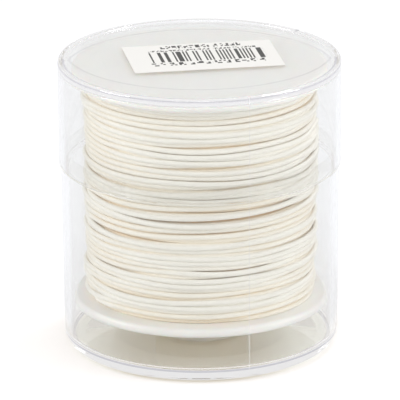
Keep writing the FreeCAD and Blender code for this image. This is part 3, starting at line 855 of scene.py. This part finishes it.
# %% [markdown]
# Each turn tries nine places, from half a millimetre below to half above where it wants to
# be. At every step around the spool it takes the one where it would lie lowest, with a small
# charge for slipping far. The choice is then smoothed, because a cord can't jump.

# %% The winding's course
CORE_DEPTH, EDGE_GAP, LEAST_GAP = 4.2, 0.05, 0.02
WANDER_REACH = 0.30
SLIPS_TRIED, SLIP_COST = np.linspace(-0.5, 0.5, 9), 0.9
SLIP_WIDTH, RISE_WIDTH = 10, 3

laid = []
layer_turns = []
core_radius = WINDING_RADIUS - CORE_DEPTH
share = np.arange(STEPS) / STEPS
pitch = (WIND_HIGH - WIND_LOW - CORD - 2 * EDGE_GAP) / TURNS
lowest, highest = WIND_LOW + CORD / 2 + LEAST_GAP, WIND_HIGH - CORD / 2 - LEAST_GAP
for layer in range(LAYERS):
    upwards = layer % 2 == 0
    drift = wander(np.arange(TURNS * STEPS) / STEPS, WANDER_REACH)
    turns = []
    slip_before = np.zeros(STEPS // 2)
    radius_before = None
    for turn in range(TURNS):
        wanted = (turn + share) * pitch
        if upwards:
            height = WIND_LOW + CORD / 2 + EDGE_GAP + wanted
        else:
            height = WIND_HIGH - CORD / 2 - EDGE_GAP - wanted
        height = height + drift[turn * STEPS:(turn + 1) * STEPS]
        best, slip = None, None
        for tried in SLIPS_TRIED:
            cost = rests_on(height + tried, laid, core_radius) + SLIP_COST * tried ** 2
            if best is None:
                best, slip = cost, np.full(STEPS, tried)
            slip = np.where(cost < best, tried, slip)
            best = np.minimum(cost, best)
        slip = smoothed(slip, slip_before, SLIP_WIDTH)
        slip_before = slip[-STEPS // 2:]
        height = np.clip(height + slip, lowest, highest)
        radius = under_tension(rests_on(height, laid, core_radius))
        if radius_before is not None:
            radius = smoothed(radius, radius_before, RISE_WIDTH)
        radius_before = radius[-STEPS // 2:]
        laid.append((height, radius))
        turns.append((height, radius))
    layer_turns.append(turns)

# %% [markdown]
# The layers come out a little too thick or too thin, and a few cords stand proud. The whole
# course is shifted until most of its outer cords reach the winding's radius, and the proud
# ones are pressed in softly, as the next turn's tension does.

# %% The winding in place
REACHED_BY, REACH_GAP = 85, 0.1
PROUD_FROM, PROUD_MOST = 0.25, 0.23

outermost = np.concatenate([radius for _, radius in layer_turns[-1]])
shrink = WINDING_RADIUS - CORD_HEIGHT / 2 - REACH_GAP - np.percentile(outermost, REACHED_BY)


def settled(radius):
    """The radius in place, where a cord that stands too proud has sunk into the ones below."""
    proud = radius + shrink - (WINDING_RADIUS - CORD_HEIGHT / 2 - PROUD_FROM)
    sunk = proud - PROUD_MOST * np.tanh(proud / PROUD_MOST)
    return radius + shrink - np.where(proud > 0, sunk, 0)


for number, turns in enumerate(layer_turns):
    radii = settled(np.concatenate([radius for _, radius in turns]))
    print(f"layer {number}: radius {radii.min():.2f} to {radii.max():.2f}, mean {radii.mean():.2f}")

# %% [markdown]
# The course becomes a tube. A bevelled curve could do that, but its rings are round and all
# alike. Here each ring stands square to the cord, is a little wider than high, and shrinks
# at the cord's free end, which lifts off the winding.

# %% The winding's rings
TAIL_POINTS, TAIL_LIFT, TAIL_TAPER = 6, 0.35, (0.7, 0.02)


def cord_line(turns, cut):
    """The cord's middle line and its thickness. A cut end lifts off a little and tapers shut."""
    heights = np.concatenate([height for height, _ in turns])
    radii = settled(np.concatenate([radius for _, radius in turns]))
    angles = np.arange(len(heights)) * 2 * np.pi / STEPS
    thickness = np.ones(len(heights))
    if cut:
        heights, radii, angles, thickness = (row[:-cut] for row in (heights, radii, angles, thickness))
        radii[-TAIL_POINTS:] += np.linspace(0, TAIL_LIFT, TAIL_POINTS)
        thickness[-len(TAIL_TAPER):] = TAIL_TAPER
    centre = np.stack([radii * np.cos(angles), radii * np.sin(angles), heights], axis=1)
    return centre, angles, thickness


def cord_rings(centre, angles, thickness, sides):
    """A ring of points square to the cord at each point of its middle line."""
    tangent = np.gradient(centre, axis=0)
    tangent /= np.linalg.norm(tangent, axis=1)[:, None]
    outward = np.stack([np.cos(angles), np.sin(angles), np.zeros_like(angles)], axis=1)
    sideways = np.cross(tangent, outward)
    sideways /= np.linalg.norm(sideways, axis=1)[:, None]
    outward = np.cross(sideways, tangent)
    ring = np.arange(sides) * 2 * np.pi / sides
    return centre[:, None, :] + thickness[:, None, None] * (
        CORD_HEIGHT / 2 * np.cos(ring)[None, :, None] * outward[:, None, :]
        + CORD_WIDTH / 2 * np.sin(ring)[None, :, None] * sideways[:, None, :]
    )


# %% [markdown]
# Four-sided faces join ring to ring. The mesh also carries two things for the material: how
# far along the cord each point is, and how deep it lies under the outermost cords. Light in
# the gaps has bounced from cord to cord, and the material paints that from the depth as a
# warmer, darker shade.

# %% The winding's tubes
DEPTH_RANGE, CORD_PER_UV = 3.0, 100


def quad_mesh(name, vertices, faces):
    """A mesh from arrays, which is much faster than lists for this many faces."""
    mesh = bpy.data.meshes.new(name)
    mesh.vertices.add(len(vertices))
    mesh.vertices.foreach_set("co", vertices.ravel())
    mesh.loops.add(len(faces) * 4)
    mesh.loops.foreach_set("vertex_index", faces.ravel())
    mesh.polygons.add(len(faces))
    mesh.polygons.foreach_set("loop_start", np.arange(len(faces)) * 4)
    mesh.update(calc_edges=True)
    return mesh


def cord_tube(name, turns, sides, cut=0):
    """A tube along the turns. With a cut, the last points are left out and the end shows."""
    centre, angles, thickness = cord_line(turns, cut)
    points = cord_rings(centre, angles, thickness, sides)
    count = len(centre)
    index = np.arange(count - 1)[:, None] * sides
    side = np.arange(sides)[None, :]
    following = (side + 1) % sides
    faces = np.stack([index + side, index + sides + side, index + sides + following, index + following],
                     axis=-1).reshape(-1, 4)
    mesh = quad_mesh(name, points.reshape(-1, 3) * MM, faces)
    length = np.concatenate([[0], np.cumsum(np.linalg.norm(np.diff(centre, axis=0), axis=1))])
    along = np.stack([length[:-1], length[1:], length[1:], length[:-1]], axis=-1)
    along = np.repeat(along[:, None, :], sides, axis=1).reshape(-1)
    around = np.stack([side[0], side[0], side[0] + 1, side[0] + 1], axis=-1) / sides
    around = np.tile(around.reshape(1, -1), (count - 1, 1)).reshape(-1)
    layer_uv = mesh.uv_layers.new(name="along_cord")
    layer_uv.data.foreach_set("uv", np.stack([along / CORD_PER_UV, around], axis=-1).ravel())
    from_middle = np.linalg.norm(points[..., :2], axis=-1)
    depth = np.clip((WINDING_RADIUS - from_middle) / DEPTH_RANGE, 0, 1)
    shade = mesh.attributes.new("depth", "FLOAT", "POINT")
    shade.data.foreach_set("value", depth.ravel())
    mesh.shade_smooth()
    piece = bpy.data.objects.new(name, mesh)
    bpy.context.scene.collection.objects.link(piece)
    print(f"{name}: {length[-1] / 1000:.2f} m of cord, {len(faces)} faces")
    return piece


# %% [markdown]
# ## Cord
# The cord is a dry, round braid of cream fibre. Real strands would need millions of faces
# for ridges thinner than a pixel, so two crossed sets of slanting waves in the material
# stand for them. The colour shifts slightly along the cord, and painted shade warms and
# darkens it with the depth.

# %% Cord
CORD_TINTS, PAINTED_GAP_SHADE = ((0.895, 0.878, 0.83, 1), (0.92, 0.908, 0.868, 1)), (0.86, 0.71, 0.48, 1)
STRAND_LENGTH, STRANDS_AROUND = 0.9, 4.0
DEEP_FROM, DEEP_SOFT, DEEP_SHARE = 0.22, 0.1, 1.3

cord_finish, tree, output = empty_material("cord")
uv = add_node(tree, "ShaderNodeUVMap", {"uv_map": "along_cord"})
place = add_node(tree, "ShaderNodeSeparateXYZ", Vector=uv.outputs[0])
along = times(tree, place.outputs[0], CORD_PER_UV / STRAND_LENGTH)
around = times(tree, place.outputs[1], STRANDS_AROUND)


def ridges(way):
    slant = math_node(tree, "MULTIPLY_ADD", around, way, along)
    return math_node(tree, "SINE", times(tree, slant, 2 * math.pi))


braid = most(tree, ridges(1.0), ridges(-1.0))
grain = grouped(tree, grain_group, Scale=2500.0, Cloud_Scale=110.0)
# Painted shade: the deeper a point lies under the outer cords, the warmer and darker the cord.
depth = add_node(tree, "ShaderNodeAttribute", {"attribute_name": "depth"})
painted_gap_share = math_node(tree, "SUBTRACT", depth.outputs["Fac"], DEEP_FROM)
painted_gap_share = math_node(tree, "SMOOTH_MAX", painted_gap_share, 0.0, DEEP_SOFT)
colour = blend_colours(tree, grain["Cloud"], *CORD_TINTS)
colour = stained(tree, colour, painted_gap_share, DEEP_SHARE, PAINTED_GAP_SHADE)
height = math_node(tree, "MULTIPLY_ADD", grain["Height"], 0.6, braid)
bump = add_node(tree, "ShaderNodeBump", Strength=0.25, Distance=0.00005, Height=height)
fibre = add_node(tree, "ShaderNodeBsdfPrincipled", Base_Color=colour, Roughness=0.72, IOR=1.45,
                 Sheen_Weight=0.15, Sheen_Roughness=0.5, Normal=bump.outputs[0])
tree.links.new(fibre.outputs[0], output.inputs["Surface"])
print("cord has", len(tree.nodes), "nodes")

# %% [markdown]
# The three layers become tubes, the outermost with a few more sides and with the cord's free
# end. A plain turned core stands for the layers below. It only shows as shade in the deepest
# gaps, so it could be left out, but then those would look into an empty spool. It takes the
# deepest painted shade all over.

# %% The winding's pieces
OUTER_SIDES, INNER_SIDES = 10, 8
END_CUT = round(32 / 360 * STEPS)
CORE_INNER = 13.1

for number, turns in enumerate(layer_turns):
    outer = number == LAYERS - 1
    sides, cut = (OUTER_SIDES, END_CUT) if outer else (INNER_SIDES, 0)
    tube = cord_tube(f"cord_layer_{number + 1}", turns, sides, cut)
    tube.data.materials.append(cord_finish)
    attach(tube, "spool")
    if outer:
        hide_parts("cord_outer_layer")

core_outer, core_low, core_high = core_radius + shrink, WIND_LOW + EDGE_GAP, WIND_HIGH - EDGE_GAP
core_profile = [(CORE_INNER, core_low), (core_outer, core_low),
                (core_outer, core_high), (CORE_INNER, core_high)]
core = turned("cord_core", core_profile, True, even_angles(256))
core.data.shade_flat()
# The core takes the full painted gap shade.
depth = core.data.attributes.new("depth", "FLOAT", "POINT")
depth.data.foreach_set("value", np.ones(len(core.data.vertices)))
core.data.materials.append(cord_finish)
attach(core, "spool")
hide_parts("cord_inner_layers")

# %% [markdown]
# ## The sticker
# A plain paper sticker lies on the lid's panel, a little askew. A flat card would do from
# afar, but paper is never quite flat, so it is a thin closed sheet with a slight ripple on
# top. It has its own flat coordinates for the print.

# %% The sticker
LABEL_LENGTH, LABEL_WIDTH, LABEL_ANGLE = 32.0, 19.0, math.radians(9.5)
LABEL_CENTRE = (0.75, 2.6)
LABEL_THICKNESS, LABEL_GAP, RIPPLE_ROOM, RIPPLE = 0.12, 0.004, 0.02, 0.012
LABEL_CELLS = (48, 28)


def sticker_points():
    """The corners of the sheet's cells, below and above, and where each is on the flat sheet."""
    across, down = LABEL_CELLS
    verts, uvs = [], []
    for side in (0, 1):
        for row in range(down + 1):
            for column in range(across + 1):
                u, v = column / across, row / down
                x, y = (u - 0.5) * LABEL_LENGTH, (v - 0.5) * LABEL_WIDTH
                turned_x = x * math.cos(LABEL_ANGLE) - y * math.sin(LABEL_ANGLE) + LABEL_CENTRE[0]
                turned_y = x * math.sin(LABEL_ANGLE) + y * math.cos(LABEL_ANGLE) + LABEL_CENTRE[1]
                ripple = RIPPLE * math.sin(5 * u + 2 * v) if side else 0
                z = PANEL_TOP + LABEL_GAP + side * (LABEL_THICKNESS - RIPPLE_ROOM) + ripple
                verts.append((turned_x * MM, turned_y * MM, z * MM))
                uvs.append((u, v))
    return verts, uvs


def sticker_mesh(name):
    across, down = LABEL_CELLS
    verts, uvs = sticker_points()
    faces = []
    step = across + 1
    layer = step * (down + 1)
    for row in range(down):
        for column in range(across):
            first = row * step + column
            faces.append((first, first + step, first + step + 1, first + 1))
            top = first + layer
            faces.append((top, top + 1, top + step + 1, top + step))
    border = list(range(across)) + [row * step + across for row in range(down)]
    border += [down * step + column for column in range(across, 0, -1)]
    border += [row * step for row in range(down, 0, -1)]
    for index, first in enumerate(border):
        following = border[(index + 1) % len(border)]
        faces.append((first, following, following + layer, first + layer))
    mesh = bpy.data.meshes.new(name)
    mesh.from_pydata(verts, [], faces)
    layer_uv = mesh.uv_layers.new(name="sheet")
    for loop in mesh.loops:
        layer_uv.data[loop.index].uv = uvs[loop.vertex_index]
    print(f"{name}: {len(mesh.vertices)} points, {len(mesh.polygons)} faces")
    return mesh


sticker = bpy.data.objects.new("paper_sticker", sticker_mesh("paper_sticker"))
bpy.context.scene.collection.objects.link(sticker)

# %% [markdown]
# ## The sticker's print
# The sheet carries generic bars and short marks that spell nothing. A picture could hold
# them, but drawn by the material from the flat coordinates they stay crisp at any distance.
# Each row is cut into narrow upright cells, and a random number inks a cell or leaves it
# bare. Rows of marks are also broken into groups with a bare gap.

# %% The sticker's print
GROUP_FILLED = 0.76
# Left, right, low, high, cell width, share inked, seed, swing between even and odd cells,
# and the length of a group, 0 for none. Lengths are in millimetres from the sheet's middle.
PRINT_ROWS = (
    (-11.1, 13.4, -3.1, 4.1, 0.36, 0.50, 3.5, 0.28, 0.0),
    (-8.0, 9.6, 7.9, 8.5, 0.42, 0.60, 40.5, 0.0, 1.26),
    (-8.0, 9.6, 7.2, 7.9, 0.42, 0.50, 50.5, 0.0, 1.26),
    (-8.0, 9.6, 6.5, 7.2, 0.42, 0.65, 60.5, 0.0, 1.26),
    (-11.0, 12.4, 5.1, 5.6, 0.30, 0.60, 80.5, 0.0, 0.9),
    (-11.0, 12.4, 4.6, 5.1, 0.30, 0.60, 100.5, 0.0, 0.9),
    (-11.6, 12.6, -4.2, -3.5, 0.48, 0.55, 120.5, 0.0, 1.92),
    (-11.6, 12.6, -4.9, -4.2, 0.48, 0.50, 130.5, 0.0, 1.92),
    (-11.6, 12.6, -5.6, -4.9, 0.48, 0.55, 140.5, 0.0, 1.92),
)

paper, tree, output = empty_material("paper")
uv = add_node(tree, "ShaderNodeUVMap", {"uv_map": "sheet"})
place = add_node(tree, "ShaderNodeSeparateXYZ", Vector=uv.outputs[0])
sheet_x = math_node(tree, "MULTIPLY_ADD", place.outputs[0], LABEL_LENGTH, -LABEL_LENGTH / 2)
sheet_y = math_node(tree, "MULTIPLY_ADD", place.outputs[1], LABEL_WIDTH, -LABEL_WIDTH / 2)


def marks(left, right, low, high, cell, filled, seed, swing, group):
    """Upright cells between left and right, each inked or bare by its own random number."""
    inset = math_node(tree, "SUBTRACT", sheet_x, left)
    number = math_node(tree, "FLOOR", times(tree, inset, 1 / cell))
    chance = add_node(tree, "ShaderNodeTexWhiteNoise", {"noise_dimensions": "1D"},
                      W=math_node(tree, "ADD", number, seed))
    even = math_node(tree, "MODULO", number, 2.0)
    share_inked = math_node(tree, "MULTIPLY_ADD", even, -2 * swing, filled + swing)
    inked = below(tree, chance.outputs["Value"], share_inked)
    inside = times(tree, between(tree, sheet_x, left, right), between(tree, sheet_y, low, high))
    if group:
        within = math_node(tree, "FRACT", times(tree, inset, 1 / group))
        inside = times(tree, inside, below(tree, within, GROUP_FILLED))
    return times(tree, inked, inside)


ink = most(tree, *[marks(*row) for row in PRINT_ROWS])
print("print rows:", len(PRINT_ROWS))

# %% [markdown]
# ## Paper
# The paper is a dull white with a fine grain, and the ink lies on it almost black. Thin
# paper lets much of the light through, so the sticker's shadow on the winding is soft and
# warm. For light the sheet is therefore mixed with a warm see-through shader, and for
# sight it stays solid.

# %% Paper
PAPER_TINTS, INK_COLOUR = ((0.785, 0.78, 0.765, 1), (0.805, 0.80, 0.79, 1)), (0.02, 0.02, 0.02, 1)
INK_SHARE = 0.95
SHEET_LETS_THROUGH, THROUGH_COLOUR = 0.7, (1.0, 0.93, 0.84, 1)

grain = grouped(tree, grain_group, Scale=1800.0, Cloud_Scale=160.0)
colour = blend_colours(tree, grain["Cloud"], *PAPER_TINTS)
colour = stained(tree, colour, ink, INK_SHARE, INK_COLOUR)
bump = add_node(tree, "ShaderNodeBump", Strength=0.15, Distance=0.00004, Height=grain["Height"])
sheet = add_node(tree, "ShaderNodeBsdfPrincipled", Base_Color=colour, Roughness=0.7, IOR=1.45,
                 Normal=bump.outputs[0])
path = add_node(tree, "ShaderNodeLightPath")
light_ray = most(tree, path.outputs["Is Shadow Ray"], path.outputs["Is Diffuse Ray"])
seen_through = add_node(tree, "ShaderNodeBsdfTransparent", Color=THROUGH_COLOUR)
thin_sheet = add_node(tree, "ShaderNodeMixShader", _0=times(tree, light_ray, SHEET_LETS_THROUGH),
                      _1=sheet.outputs[0], _2=seen_through.outputs[0])
tree.links.new(thin_sheet.outputs[0], output.inputs["Surface"])
sticker.data.materials.append(paper)
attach(sticker, "lid")
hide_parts("product_label")
print("paper has", len(tree.nodes), "nodes")
